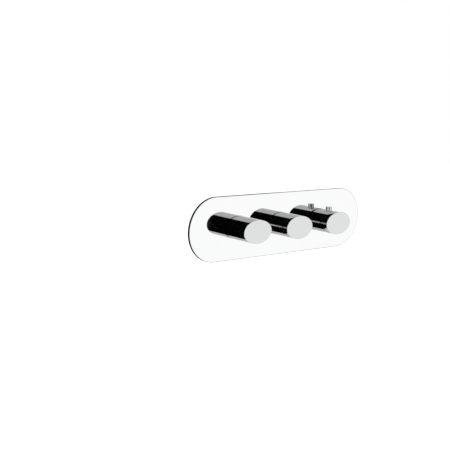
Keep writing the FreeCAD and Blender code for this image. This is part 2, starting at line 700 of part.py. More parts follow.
def headwork_housing(label, x):
    """Brass housing screwed into a flow socket: nose, hexagon, thread, and barrel for the discs."""
    body = new_body(label, (x, "0", "0"))
    thread = f"({FLOW_BORE_R} - push_fit)"
    thread_back = "(socket_face_depth + headwork_thread_length)"
    barrel_end = "(seat_depth - barrel_slack)"
    chamber_front = f"({FORK_FRONT_Y} - push_fit)"
    revolve(body, "housing", [
        (SHAFT_BORE_R, "-housing_nose"), (NOSE_R, "-housing_nose"), (NOSE_R, "socket_face_depth"),
        (thread, "socket_face_depth"), (thread, thread_back), (BARREL_R, thread_back), (BARREL_R, barrel_end),
        (DISC_BORE_R, barrel_end), (DISC_BORE_R, chamber_front), (SHAFT_BORE_R, chamber_front)])
    flange = new_sketch(body, "hexagon", "XZ_Plane", offset="-socket_face_depth")
    add_polygon(flange, hexagon(HEX_R))
    add_circle(flange, "0", "0", f"{NOSE_R} - hex_overlap")
    extrude(body, flange, "spanner_flange", "hex_thickness")
    window = new_sketch(body, "window")
    front = f"({FORK_FRONT_Y} + fork_web)"
    back = MOVING_DISC_FRONT_Y
    half = "(outlet_window_width / 2)"
    add_polygon(window, [(f"-{half}", front), (half, front), (half, back), (f"-{half}", back)])
    extrude(body, window, "outlet_windows", cut=True, both=True)


def guide_sleeve(label, x, socket_r):
    """Screws over a socket's nose, passes through the plate and grips it with an O-ring."""
    body = new_body(label, (x, "0", "0"))
    thread = f"({socket_r} + push_fit)"
    collar = f"({thread} + sleeve_collar_wall)"
    collar_front = "(socket_face_depth - sleeve_shoulder)"
    collar_back = "(socket_face_depth + sleeve_collar_length)"
    groove_floor = f"({PLATE_HOLE_R} - plate_ring_section - 2 * push_fit)"
    half = "(plate_ring_section / 2 + push_fit)"
    middle = "(-plate_thickness / 2)"
    revolve(body, "sleeve", [
        (SLEEVE_BORE_R, "-sleeve_nose"), (SLEEVE_R, "-sleeve_nose"), (SLEEVE_R, f"{middle} - {half}"),
        (groove_floor, f"{middle} - {half}"), (groove_floor, f"{middle} + {half}"),
        (SLEEVE_R, f"{middle} + {half}"), (SLEEVE_R, collar_front), (collar, collar_front),
        (collar, collar_back), (thread, collar_back), (thread, "socket_face_depth - push_fit"),
        (SLEEVE_BORE_R, "socket_face_depth - push_fit")])


def safety_button():
    """Round button in the top of the temperature knob. Its tab reaches back into the stop ring."""
    body = new_body("safety_button", (THERMO_X, BUTTON_Y, "0"))
    top = f"({KNOB_R} + button_proud)"
    flange_low = f"({BUTTON_FLANGE_Z} - button_flange_thickness)"
    revolve(body, "button", [("0", flange_low), (BUTTON_FLANGE_R, flange_low),
                             (BUTTON_FLANGE_R, BUTTON_FLANGE_Z), (BUTTON_R, BUTTON_FLANGE_Z), (BUTTON_R, top),
                             ("0", top)], "XZ_Plane")
    tab = new_sketch(body, "tab", offset=f"{TAB_TOP_Z} - tab_thickness")
    reach = f"({STOP_BACK_Y} - stop_web_thickness - free_gap - {BUTTON_Y})"
    add_polygon(tab, [("-tab_width / 2", BUTTON_R), ("tab_width / 2", BUTTON_R), ("tab_width / 2", reach),
                      ("-tab_width / 2", reach)])
    extrude(body, tab, "stop_tab", "tab_thickness")


def thermo_adapter():
    """The temperature knob's hub, with a pocket for the button's spring and a slot for its tab."""
    back_y = f"({STOP_FRONT_Y} - clip_thickness - 2 * free_gap)"
    body = adapter("thermo_adapter", THERMO_X, back_y)
    pocket = new_sketch(body, "button_pocket", offset=BUTTON_POCKET_Z)
    add_circle(pocket, "0", BUTTON_Y, f"{BUTTON_FLANGE_R} + free_gap")
    extrude(body, pocket, "spring_pocket", cut=True, reverse=True)
    slot = new_sketch(body, "tab_slot", offset=f"{TAB_TOP_Z} - tab_thickness - button_travel - free_gap")
    half = "(tab_width / 2 + free_gap)"
    add_polygon(slot, [(f"-{half}", BUTTON_Y), (half, BUTTON_Y), (half, "0"), (f"-{half}", "0")])
    extrude(body, slot, "tab_passage", cut=True, reverse=True)


def thermo_knob():
    body = knob("thermo_knob", THERMO_X, THERMO_BASE_Y)
    hole = new_sketch(body, "button_hole")
    add_circle(hole, "0", BUTTON_Y, f"{BUTTON_R} + running_fit")
    extrude(body, hole, "button_passage", cut=True, reverse=True)


def stop_ring():
    """Keyed on the cartridge's nose. Its solid arc at the bottom is the end stop of the knob's tab."""
    body = new_body("stop_ring", (THERMO_X, "0", "0"))
    inner = f"({NOSE_R} + push_fit)"
    hub = f"({NOSE_R} + stop_hub_wall)"
    rim = f"({TAB_TOP_Z} + 2 * free_gap)"
    outer = f"({rim} + stop_rim_wall)"
    web_front = f"({STOP_BACK_Y} - stop_web_thickness)"
    revolve(body, "ring", [(inner, STOP_FRONT_Y), (hub, STOP_FRONT_Y), (hub, web_front), (rim, web_front),
                           (rim, STOP_FRONT_Y), (outer, STOP_FRONT_Y), (outer, STOP_BACK_Y),
                           (inner, STOP_BACK_Y)])
    block = new_sketch(body, "end_stop", "XZ_Plane", offset=f"-({web_front})")
    add_sector(block, hub, f"{rim} + push_fit", STOP_BLOCK_MIDDLE, STOP_BLOCK_HALF)
    extrude(body, block, "stop_block", f"{web_front} - {STOP_FRONT_Y}")


def scale_ring():
    """The thin ring on the plate behind the temperature knob."""
    outer = f"({KNOB_R} - scale_ring_step)"
    inner = f"({SLEEVE_R} + push_fit)"
    front = "-plate_thickness - scale_ring_thickness"
    back = "-plate_thickness"
    profile = [(inner, front), (outer, front), (outer, back), (inner, back)]
    turned_piece("scale_ring", (THERMO_X, "0", "0"), profile)


def temperature_spindle():
    """Turns the regulating thread inside the cartridge."""
    body = new_body("temperature_spindle", (THERMO_X, "0", "0"))
    flange = "(regulating_nut_diameter / 2 - spindle_flange_step)"
    flange_front = f"({NUT_CHAMBER_Y} + push_fit)"
    flange_back = f"({flange_front} + spindle_flange_thickness)"
    thread = "(regulating_thread_diameter / 2)"
    revolve(body, "shaft", shaft_profile("(-cartridge_nose)", THERMO_RING_Y)
            + [(SHAFT_R, flange_front), (flange, flange_front), (flange, flange_back),
               (thread, flange_back), (thread, THREAD_END_Y), ("0", THREAD_END_Y)])
    cut_spline(body)


def cartridge_housing():
    """Thermostatic cartridge housing, with a ring groove and four windows for hot and for cold."""
    body = new_body("cartridge_housing", (THERMO_X, "0", "0"))
    neck = "(cartridge_neck_diameter / 2)"
    neck_front = "(-sleeve_nose + free_gap)"
    profile = [(SHAFT_BORE_R, STOP_FRONT_Y), (NOSE_R, STOP_FRONT_Y), (NOSE_R, neck_front), (neck, neck_front),
               (neck, NUT_BACK_Y), (CARTRIDGE_R, NUT_BACK_Y)]
    floor = f"({CARTRIDGE_R} - cartridge_ring_section - push_fit)"
    half = "(cartridge_ring_section / 2 + push_fit)"
    front, middle, back = [(f"({y} - {half})", f"({y} + {half})", floor) for y in CARTRIDGE_RING_PLACES]
    hot = (HOT_GROOVE_FRONT_Y, HOT_GROOVE_BACK_Y, GROOVE_R)
    cold = (COLD_GROOVE_FRONT_Y, COLD_GROOVE_BACK_Y, GROOVE_R)
    for start, end, radius in (front, hot, middle, cold, back):
        profile += [(CARTRIDGE_R, start), (radius, start), (radius, end), (CARTRIDGE_R, end)]
    profile += [(CARTRIDGE_R, CARTRIDGE_END_Y), (SPOOL_BORE_R, CARTRIDGE_END_Y),
                (SPOOL_BORE_R, HOT_SEAT_Y), ("seat_lip_radius", HOT_SEAT_Y),
                ("seat_lip_radius", LIP_FRONT_Y), (NUT_CHAMBER_R, LIP_FRONT_Y),
                (NUT_CHAMBER_R, NUT_CHAMBER_Y), (SHAFT_BORE_R, NUT_CHAMBER_Y)]
    revolve(body, "housing", profile)
    windows = new_sketch(body, "windows")
    side = "(port_window_width / 2)"
    for front, back in ((HOT_SEAT_Y, HOT_GROOVE_BACK_Y), (COLD_GROOVE_FRONT_Y, COLD_SEAT_Y)):
        add_polygon(windows, [(f"-{side}", front), (side, front), (side, back), (f"-{side}", back)])
    pair = extrude(body, windows, "window_pair", cut=True, both=True)
    spin(body, pair, 4, "window_ring")


def cartridge_nut():
    """Ring nut that holds the cartridge in its socket."""
    body = new_body("cartridge_nut", (THERMO_X, "0", "0"))
    bore = "(cartridge_neck_diameter / 2 + push_fit)"
    thread = "(nut_bore_diameter / 2 - push_fit)"
    shoulder = "(socket_face_depth + 2 * push_fit)"
    back = f"({NUT_BACK_Y} - push_fit)"
    flat = f"({HEX_R} * cos(30))"
    revolve(body, "nut", [(bore, HEX_FRONT_Y), (flat, HEX_FRONT_Y), (flat, shoulder), (thread, shoulder),
                          (thread, back), (bore, back)])
    flange = new_sketch(body, "hexagon", "XZ_Plane", offset=f"-{shoulder}")
    add_polygon(flange, hexagon(HEX_R))
    add_circle(flange, "0", "0", f"{bore} + hex_overlap")
    extrude(body, flange, "spanner_flange", f"{shoulder} - {HEX_FRONT_Y}")


def regulating_nut():
    """Slides in the cartridge without turning, driven by the spindle's thread."""
    thread = "(regulating_thread_diameter / 2 + running_fit)"
    outer = "(regulating_nut_diameter / 2)"
    turned_piece("regulating_nut", (THERMO_X, "0", "0"), [
        (thread, NUT_FRONT_Y), (outer, NUT_FRONT_Y), (outer, NUT_END_Y), (NUT_CAVITY_R, NUT_END_Y),
        (NUT_CAVITY_R, NUT_WALL_Y), (thread, NUT_WALL_Y)])


def wax_element():
    """Expands with the mixed water's warmth. Its flange is held in the regulating nut."""
    flange = f"({NUT_CAVITY_R} - push_fit)"
    pin = "(wax_pin_diameter / 2)"
    pin_front = f"({NUT_WALL_Y} + wax_pin_gap)"
    end = f"({BASE_FLOOR_Y} - wax_tail_gap)"
    slope_start = f"({end} - wax_tail_length)"
    tail = f"({WAX_R} - wax_tail_step)"
    turned_piece("wax_element", (THERMO_X, "0", "0"), [
        ("0", pin_front), (pin, pin_front), (pin, WAX_FLANGE_Y), (flange, WAX_FLANGE_Y),
        (flange, NUT_END_Y), (WAX_R, NUT_END_Y), (WAX_R, slope_start),
        (tail, f"{slope_start} + wax_tail_step"), (tail, end), ("0", end)])


def mixing_spool():
    """Shuttles between the hot and the cold seat. Four ribs join its rim to the wax element's hub."""
    body = new_body("mixing_spool", (THERMO_X, "0", "0"))
    bore = f"({SPOOL_R} - spool_wall)"
    hub = f"({WAX_R} + push_fit)"
    revolve(body, "rim", [(bore, SPOOL_FRONT_Y), (SPOOL_R, SPOOL_FRONT_Y), (SPOOL_R, SPOOL_BACK_Y),
                          (bore, SPOOL_BACK_Y)])
    reach = f"({SPOOL_R} - spool_wall / 2)"
    side = "(spool_rib_width / 2)"
    for name, half_x, half_z in (("level_ribs", reach, side), ("upright_ribs", side, reach)):
        bar = new_sketch(body, name, "XZ_Plane", offset=f"-({SPOOL_BACK_Y})")
        add_polygon(bar, [(f"-{half_x}", f"-{half_z}"), (half_x, f"-{half_z}"), (half_x, half_z),
                          (f"-{half_x}", half_z)])
        extrude(body, bar, f"{name}_bar", "spool_length / 2")
    boss = new_sketch(body, "boss", "XZ_Plane", offset=f"-({SPOOL_BACK_Y})")
    add_circle(boss, "0", "0", f"{hub} + spool_hub_wall")
    extrude(body, boss, "hub", "spool_length / 2")
    hole = new_sketch(body, "hub_hole", "XZ_Plane")
    add_circle(hole, "0", "0", hub)
    extrude(body, hole, "hub_bore", cut=True, both=True)


def cartridge_base():
    """Closes the cartridge at the back, gives the cold seat and carries the return spring."""
    body = new_body("cartridge_base", (THERMO_X, "0", "0"))
    outer = f"({SPOOL_R} - push_fit)"
    end = f"({BASE_FLOOR_Y} + base_floor)"
    revolve(body, "cup", [(BASE_BORE_R, COLD_SEAT_Y), (outer, COLD_SEAT_Y), (outer, end), (WAX_R, end),
                          (WAX_R, BASE_FLOOR_Y), (BASE_BORE_R, BASE_FLOOR_Y)])
    window = new_sketch(body, "window")
    side = "(base_window_width / 2)"
    front = f"({CARTRIDGE_END_Y} + free_gap)"
    back = f"({BASE_FLOOR_Y} - base_window_margin)"
    add_polygon(window, [(f"-{side}", front), (side, front), (side, back), (f"-{side}", back)])
    pair = extrude(body, window, "outlet_pair", cut=True, both=True)
    spin(body, pair, 4, "outlet_ring")


def cylinder(name, along, place, radius, length):
    """A plain cylinder that starts at a place and runs along a row axis."""
    item = placed(doc.addObject("Part::Cylinder", name), place)
    item.setExpression("Radius", bound(radius))
    item.setExpression("Height", bound(length))
    item.Placement.Rotation = along
    return item


def valve_body():
    """One brass casting: mixed-water gallery, three sockets, two outlets, two inlet arms and ears."""
    solid = [cylinder("gallery", FACING_X, (GALLERY_LEFT_X, "gallery_depth", "0"), "gallery_diameter / 2",
                      f"{THERMO_X} - {GALLERY_LEFT_X}")]
    flow_back = "(gallery_depth - gallery_diameter / 2)"
    hollow = [cylinder("gallery_bore", FACING_X, (GALLERY_LEFT_X, "gallery_depth", "0"),
                       "gallery_bore_diameter / 2", f"{THERMO_X} - {GALLERY_LEFT_X}"),
              cylinder("plug_thread", FACING_X, (GALLERY_LEFT_X, "gallery_depth", "0"), PLUG_R,
                       "plug_length + push_fit")]
    for name, x in (("left", LEFT_X), ("centre", CENTRE_X)):
        solid.append(cylinder(f"{name}_socket", FACING_Y, (x, "socket_face_depth", "0"),
                              "flow_socket_diameter / 2", f"{flow_back} - socket_face_depth"))
        neck = placed(doc.addObject("Part::Cone", f"{name}_neck"), (x, flow_back, "0"))
        neck.setExpression("Radius1", bound("flow_socket_diameter / 2"))
        neck.setExpression("Radius2", bound("gallery_diameter / 2 - neck_step"))
        neck.setExpression("Height", bound("gallery_diameter / 2"))
        neck.Placement.Rotation = FACING_Y
        solid.append(neck)
        solid.append(cylinder(f"{name}_outlet", FACING_Z, (x, "outlet_depth", "0"), "port_boss_diameter / 2",
                              "port_height"))
        hollow.append(cylinder(f"{name}_bore", FACING_Y, (x, "socket_face_depth", "0"), FLOW_BORE_R,
                               "seat_depth - socket_face_depth"))
        hollow.append(cylinder(f"{name}_seat", FACING_Y, (x, "socket_face_depth", "0"),
                               "seat_hole_diameter / 2", "gallery_depth - socket_face_depth"))
        start = f"({FLOW_BORE_R} - channel_overlap)"
        hollow.append(cylinder(f"{name}_channel", FACING_Z, (x, "outlet_depth", start),
                               "port_channel_diameter / 2", f"port_height - {start}"))
        shoulder = (x, "outlet_depth", "port_height - port_thread_length")
        hollow.append(cylinder(f"{name}_port", FACING_Z, shoulder, "port_bore_diameter / 2",
                               "port_thread_length"))
    solid.append(cylinder("thermo_socket", FACING_Y, (THERMO_X, "socket_face_depth", "0"),
                          "thermo_socket_diameter / 2", f"{BODY_BACK_Y} - socket_face_depth"))
    solid.append(cylinder("inlet_arm", FACING_X, (HOT_X, "inlet_depth", "0"), "arm_diameter / 2",
                          "2 * inlet_offset"))
    hollow += [
        cylinder("nut_thread", FACING_Y, (THERMO_X, "socket_face_depth", "0"), "nut_bore_diameter / 2",
                 "nut_thread_length"),
        cylinder("cartridge_bore", FACING_Y, (THERMO_X, "socket_face_depth", "0"), THERMO_BORE_R,
                 f"{CARTRIDGE_END_Y} - socket_face_depth"),
        cylinder("mixing_chamber", FACING_Y, (THERMO_X, "socket_face_depth", "0"), "chamber_diameter / 2",
                 "chamber_depth - socket_face_depth"),
        cylinder("hot_cross_hole", FACING_X, (HOT_X, "hot_port_depth", "0"), "cross_hole_diameter / 2",
                 "inlet_offset"),
        cylinder("cold_cross_hole", FACING_X, (THERMO_X, "cold_port_depth", "0"), "cross_hole_diameter / 2",
                 "inlet_offset")]
    for name, x in (("hot", HOT_X), ("cold", COLD_X)):
        solid.append(cylinder(f"{name}_inlet", DOWN, (x, "inlet_depth", "0"), "inlet_boss_diameter / 2",
                              "inlet_boss_drop"))
        dome = placed(doc.addObject("Part::Sphere", f"{name}_dome"), (x, "inlet_depth", "0"))
        dome.setExpression("Radius", bound("inlet_boss_diameter / 2"))
        solid.append(dome)
        mouth = (x, "inlet_depth", "-inlet_boss_drop")
        ring_seat = "connector_thread_diameter / 2 + connector_ring_section + 2 * push_fit"
        hollow.append(cylinder(f"{name}_shaft", FACING_Z, mouth, "inlet_bore_diameter / 2",
                               "inlet_boss_drop + inlet_bore_diameter / 2"))
        hollow.append(cylinder(f"{name}_thread", FACING_Z, mouth, "connector_thread_diameter / 2 + push_fit",
                               "connector_thread_length"))
        hollow.append(cylinder(f"{name}_ring_seat", FACING_Z, mouth, ring_seat, "connector_ring_section"))
    ear_front = f"({BODY_BACK_Y} - ear_thickness)"
    for side, x in (("left", "(-ear_offset)"), ("right", "ear_offset")):
        ear = doc.addObject("Part::Box", f"{side}_ear")
        placed(ear, (f"{x} - ear_radius", ear_front, "-ear_height"))
        ear.setExpression("Length", bound("2 * ear_radius"))
        ear.setExpression("Width", bound("ear_thickness"))
        ear.setExpression("Height", bound("2 * ear_height"))
        solid.append(ear)
        for end, z in (("low", "(-ear_height)"), ("high", "ear_height")):
            place = (x, ear_front, z)
            tap = "rail_screw_diameter / 2 + push_fit"
            solid.append(cylinder(f"{side}_{end}_eye", FACING_Y, place, "ear_radius", "ear_thickness"))
            hollow.append(cylinder(f"{side}_{end}_tap", FACING_Y, place, tap, "ear_thickness"))
    casting = doc.addObject("Part::MultiFuse", "casting")
    casting.Shapes = solid
    casting.Refine = True
    bores = doc.addObject("Part::MultiFuse", "casting_bores")
    bores.Shapes = hollow
    body = doc.addObject("Part::Cut", "valve_body")
    body.Base = casting
    body.Tool = bores
    finished(body, "valve_body")


def gallery_plug():
    """Hexagon-socket plug in the end of the drilled gallery."""
    body = new_body("gallery_plug", (GALLERY_LEFT_X, "gallery_depth", "0"))
    thread = f"({PLUG_R} - push_fit)"
    head = "(gallery_diameter / 2 - plug_head_step)"
    revolve(body, "plug", [("-plug_head", "0"), ("-plug_head", head), ("0", head), ("0", thread),
                           ("plug_length", thread), ("plug_length", "0")], axis="H_Axis")
    socket = new_sketch(body, "socket", "YZ_Plane", offset="-plug_head")
    add_polygon(socket, hexagon("(plug_socket_flats / sqrt(3))"))
    extrude(body, socket, "hexagon", "plug_socket_depth", cut=True, reverse=True)


def mounting_rail():
    """Steel rail behind the casting, slotted for the wall screws and countersunk for its own."""
    body = new_body("mounting_rail", ("0", BODY_BACK_Y, "0"))
    outline = new_sketch(body, "outline", "XZ_Plane")
    half = "(rail_length / 2)"
    tall = "(rail_height / 2)"
    add_polygon(outline, [(f"-{half}", f"-{tall}"), (half, f"-{tall}"), (half, tall), (f"-{half}", tall)])
    sheet_metal = extrude(body, outline, "blank", "rail_thickness", reverse=True)
    doc.recompute()
    corners = [f"Edge{k + 1}" for k, edge in enumerate(sheet_metal.Shape.Edges)
               if abs(edge.tangentAt(edge.FirstParameter).y) > 0.9]
    rounded = body.newObject("PartDesign::Fillet", "rail_corners")
    rounded.Base = (sheet_metal, corners)
    rounded.setExpression("Radius", bound("rail_corner_radius"))
    slots = new_sketch(body, "slots", "XZ_Plane")
    for x in ("(-slot_left)", "slot_right"):
        for z in ("(-slot_height)", "slot_height"):
            add_stadium(slots, x, z, "(slot_length / 2 - slot_width / 2)", "slot_width / 2")
    for x in ("(-ear_offset)", "ear_offset"):
        for z in ("(-ear_height)", "ear_height"):
            add_circle(slots, x, z, RAIL_HOLE_R)
    holed = extrude(body, slots, "slots_and_holes", cut=True, both=True)
    doc.recompute()
    hole_edge = 2 * math.pi * (sheet.get("rail_screw_diameter") / 2 + 2 * sheet.get("push_fit"))
    back = holed.Shape.BoundBox.YMax
    rims = [f"Edge{k + 1}" for k, edge in enumerate(holed.Shape.Edges)
            if edge.BoundBox.YMin > back - 0.01 and abs(edge.Length - hole_edge) < 0.01]
    countersink = body.newObject("PartDesign::Chamfer", "countersinks")
    countersink.Base = (holed, rims)
    countersink.setExpression("Size", bound("countersink_depth"))


def mounting_screws():
    """Four countersunk screws that hold the rail to the casting's ears."""
    screws = []
    for x in ("(-ear_offset)", "ear_offset"):
        for z in ("(-ear_height)", "ear_height"):
            name = f"rail_screw_{len(screws) + 1}"
            rail_back = f"({BODY_BACK_Y} + rail_thickness)"
            shank = cylinder(f"{name}_shank", FACING_Y, (x, f"{rail_back} - rail_screw_length", z),
                             "rail_screw_diameter / 2", "rail_screw_length - countersink_depth / 2")
            head = doc.addObject("Part::Cone", f"{name}_head")
            placed(head, (x, f"{rail_back} - countersink_depth", z))
            head.setExpression("Radius1", bound("rail_screw_diameter / 2"))
            head.setExpression("Radius2", bound("rail_screw_diameter / 2 + countersink_depth"))
            head.setExpression("Height", bound("countersink_depth"))
            head.Placement.Rotation = FACING_Y
            screw = doc.addObject("Part::Fuse", name)
            screw.Base = shank
            screw.Tool = head
            screws.append(screw)
    group = doc.addObject("Part::Compound", "mounting_screws")
    group.Links = screws
    finished(group, "mounting_screws")


def inlet_connector(label, x):
    """Screws into an inlet boss from below, takes the supply pipe and holds the check valve."""
    body = new_body(label, (x, "inlet_depth", "0"))
    thread = "(connector_thread_diameter / 2)"
    collar = "(connector_collar_diameter / 2)"
    port = "(port_bore_diameter / 2)"
    hex_bottom = "(-inlet_boss_drop - connector_hex_thickness)"
    bore = f"({CHECK_R} + push_fit)"
    top = f"({CONNECTOR_TOP_Z} - push_fit)"
    revolve(body, "connector", [
        (port, "-port_height"), (collar, "-port_height"), (collar, "-inlet_boss_drop"),
        (thread, "-inlet_boss_drop"), (thread, top), (bore, top), (bore, PORT_SHOULDER_Z),
        (port, PORT_SHOULDER_Z)], "XZ_Plane")
    flange = new_sketch(body, "hexagon", offset=hex_bottom)
    add_polygon(flange, hexagon("(connector_hex_flats / sqrt(3))"))
    add_circle(flange, "0", "0", "connector_collar_diameter / 2 - hex_overlap")
    extrude(body, flange, "spanner_flange", "connector_hex_thickness")


def check_housing(label, x):
    """Plastic check-valve body: seat below, guide spider above."""
    body = new_body(label, (x, "inlet_depth", "0"))
    bore = f"({CHECK_R} - check_wall)"
    spider = f"({CHECK_TOP_Z} - check_floor)"
    guide = "(poppet_stem_diameter / 2 + running_fit)"
    seat_bore = "(poppet_diameter / 2 - poppet_seat_width)"
    revolve(body, "shell", [
        (seat_bore, CHECK_BOTTOM_Z), (CHECK_R, CHECK_BOTTOM_Z), (CHECK_R, CHECK_TOP_Z), (guide, CHECK_TOP_Z),
        (guide, spider), (bore, spider), (bore, POPPET_SEAT_Z), (seat_bore, POPPET_SEAT_Z)], "XZ_Plane")
    hole = new_sketch(body, "flow_holes", offset=CHECK_TOP_Z)
    add_circle(hole, f"({bore} + {guide}) / 2", "0", f"({bore} - {guide}) / 2 - check_spoke")
    opening = extrude(body, hole, "flow_hole", "check_floor", cut=True)
    spin(body, opening, 4, "flow_ring", "Z_Axis")


def poppet(label, x):
    """The check valve's moving head and its guide stem."""
    head = "(poppet_diameter / 2)"
    head_top = f"({POPPET_SEAT_Z} + poppet_head)"
    stem_top = f"({CHECK_TOP_Z} - check_floor / 2)"
    stem = "(poppet_stem_diameter / 2)"
    turned_piece(label, (x, "inlet_depth", "0"), [
        ("0", POPPET_SEAT_Z), (f"{head} - poppet_edge", POPPET_SEAT_Z),
        (head, f"{POPPET_SEAT_Z} + poppet_edge"), (head, head_top), (stem, f"{head_top} + poppet_cone"),
        (stem, stem_top), ("0", stem_top)], "XZ_Plane")


def strainer(label, x):
    """Cup of perforated steel below the check valve."""
    body = new_body(label, (x, "inlet_depth", "0"))
    low = PORT_SHOULDER_Z
    floor = f"({low} + strainer_wall)"
    inner = f"({CHECK_R} - strainer_wall)"
    revolve(body, "cup", [("0", low), (CHECK_R, low), (CHECK_R, CHECK_BOTTOM_Z), (inner, CHECK_BOTTOM_Z),
                          (inner, floor), ("0", floor)], "XZ_Plane")
    hole = new_sketch(body, "mesh_hole", offset=floor)
    add_circle(hole, "mesh_ring_diameter / 2", "0", "mesh_hole_diameter / 2")
    opening = extrude(body, hole, "mesh_opening", "2 * strainer_wall", cut=True)
    spin(body, opening, 8, "mesh", "Z_Axis")


trim_plate()
plate_gasket()
valve_body()
gallery_plug()
mounting_rail()
mounting_screws()

for side, x in (("left", LEFT_X), ("centre", CENTRE_X)):
    knob(f"{side}_knob", x, FLOW_BASE_Y)
    adapter(f"{side}_adapter", x, ADAPTER_BACK_Y)
    grub_screw(f"{side}_grub_screw", x)
    flow_spindle(f"{side}_spindle", x)
    spindle_clip(f"{side}_spindle_clip", x, "(-housing_nose)")
    spindle_ring(f"{side}_spindle_ring", x, FLOW_RING_Y)
    disc(f"{side}_moving_disc", x, MOVING_DISC_FRONT_Y, 0, True)
    disc(f"{side}_fixed_disc", x, MOVING_DISC_BACK_Y, 90, False)
    headwork_housing(f"{side}_headwork_housing", x)
    guide_sleeve(f"{side}_guide_sleeve", x, "flow_socket_diameter / 2")
    turned_piece(f"{side}_seat_seal", (x, "0", "0"), [
        ("disc_opening_outer", FIXED_DISC_BACK_Y), (DISC_R, FIXED_DISC_BACK_Y), (DISC_R, "seat_depth"),
        ("disc_opening_outer", "seat_depth")])

thermo_knob()
thermo_adapter()
grub_screw("thermo_grub_screw", THERMO_X)
temperature_spindle()
spindle_clip("temperature_spindle_clip", THERMO_X, "(-cartridge_nose)")
spindle_ring("temperature_spindle_ring", THERMO_X, THERMO_RING_Y)
safety_button()
spring_piece("button_spring", (THERMO_X, BUTTON_Y, BUTTON_POCKET_Z), f"({BUTTON_R} - button_spring_wire)",
             "button_spring_wire", "button_spring_turns", "button_spring_height", "XZ_Plane")
guide_sleeve("thermo_guide_sleeve", THERMO_X, "thermo_socket_diameter / 2")
ring_piece("plate_rings", [(x, "-plate_thickness / 2", "0") for x in (LEFT_X, CENTRE_X, THERMO_X)],
           f"({PLATE_HOLE_R} - push_fit)", "plate_ring_section")
scale_ring()
stop_ring()
cartridge_housing()
cartridge_nut()
ring_piece("cartridge_rings", [(THERMO_X, y, "0") for y in CARTRIDGE_RING_PLACES],
           f"({CARTRIDGE_R} + push_fit / 2)", "cartridge_ring_section")
cartridge_base()
regulating_nut()
spring_piece("overload_spring", (THERMO_X, NUT_WALL_Y, "0"), f"({NUT_CAVITY_R} - overload_wire)",
             "overload_wire", "overload_turns", f"({WAX_FLANGE_Y} - {NUT_WALL_Y})")
wax_element()
mixing_spool()
spring_piece("return_spring", (THERMO_X, SPOOL_BACK_Y, "0"), f"({WAX_R} + spool_hub_wall)", "return_wire",
             "return_turns", f"({BASE_FLOOR_Y} - {SPOOL_BACK_Y})")

for side, x in (("hot", HOT_X), ("cold", COLD_X)):
    inlet_connector(f"{side}_inlet_connector", x)
    check_housing(f"{side}_check_housing", x)
    poppet(f"{side}_poppet", x)
    strainer(f"{side}_strainer", x)
    spring_piece(f"{side}_check_spring", (x, "inlet_depth", CHECK_SPRING_Z),
                 "(poppet_stem_diameter / 2 + check_spring_gap)", "check_spring_wire", "check_spring_turns",
                 f"({CHECK_TOP_Z} - check_floor - {CHECK_SPRING_Z})", "XZ_Plane")
ring_middle_z = "(-inlet_boss_drop + connector_ring_section / 2)"
ring_piece("connector_rings", [(x, "inlet_depth", ring_middle_z) for x in (HOT_X, COLD_X)],
           "(connector_thread_diameter / 2 + connector_ring_section + push_fit)", "connector_ring_section",
           along_z=True)

doc.recompute()
faults = [item.Name for item in doc.Objects if "Invalid" in item.State or "Error" in item.State]
if faults:
    raise RuntimeError(f"these objects failed: {faults}")
for item in sub_parts:
    if item.Shape.isNull() or not item.Shape.isValid():
        raise RuntimeError(f"{item.Label} has no valid shape")

os.makedirs("parts", exist_ok=True)
for item in sub_parts:
    item.Shape.exportStep(f"parts/{item.Label}.step")
    print(f"{item.Label}: {len(item.Shape.Solids)} solid, {item.Shape.Volume / 1000:.2f} cm3")
print(len(sub_parts), "pieces")
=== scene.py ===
import json
import math

import bpy
from mathutils import Matrix, Vector


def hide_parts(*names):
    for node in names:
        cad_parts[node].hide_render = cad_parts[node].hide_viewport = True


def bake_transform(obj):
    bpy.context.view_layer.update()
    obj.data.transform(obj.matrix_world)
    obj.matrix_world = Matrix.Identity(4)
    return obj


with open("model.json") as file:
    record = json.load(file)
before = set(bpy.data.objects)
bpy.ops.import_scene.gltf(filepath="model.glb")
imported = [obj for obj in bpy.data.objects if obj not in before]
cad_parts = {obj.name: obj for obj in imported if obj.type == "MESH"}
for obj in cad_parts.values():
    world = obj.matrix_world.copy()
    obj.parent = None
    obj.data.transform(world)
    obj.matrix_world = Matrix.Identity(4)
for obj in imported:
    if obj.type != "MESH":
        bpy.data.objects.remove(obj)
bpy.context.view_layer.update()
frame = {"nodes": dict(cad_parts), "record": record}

# ---------------------------------------------------------------------------------------------
# places and sizes of the part, in metres: X along the plate, Y into the wall, Z up
# ---------------------------------------------------------------------------------------------

PLATE_RADIUS = 0.055
PLATE_ARC_X = 0.15
PLATE_FRONT_Y = -0.004
BEVEL_WIDTH = 0.0008
KNOB_END_Y = -0.052
FLOW_KNOBS_END_X = 0.06
STATION_SPACING = 0.098
THERMO_X = STATION_SPACING
BUTTON_Y = -0.026
SOCKET_FACE_Y = 0.018
BODY_BACK_Y = 0.0786
PORT_TOP_Z = 0.042
OUTLETS = ((-STATION_SPACING, 0.04), (0.0, 0.04))
HOT_INLET = (0.062, 0.045)
COLD_INLET = (0.134, 0.045)

X_AXIS = (1, 0, 0)
Y_AXIS = (0, 1, 0)
Z_AXIS = (0, 0, 1)

# ---------------------------------------------------------------------------------------------
# small helpers for node trees
# ---------------------------------------------------------------------------------------------


def grey(value):
    return (value, value, value)


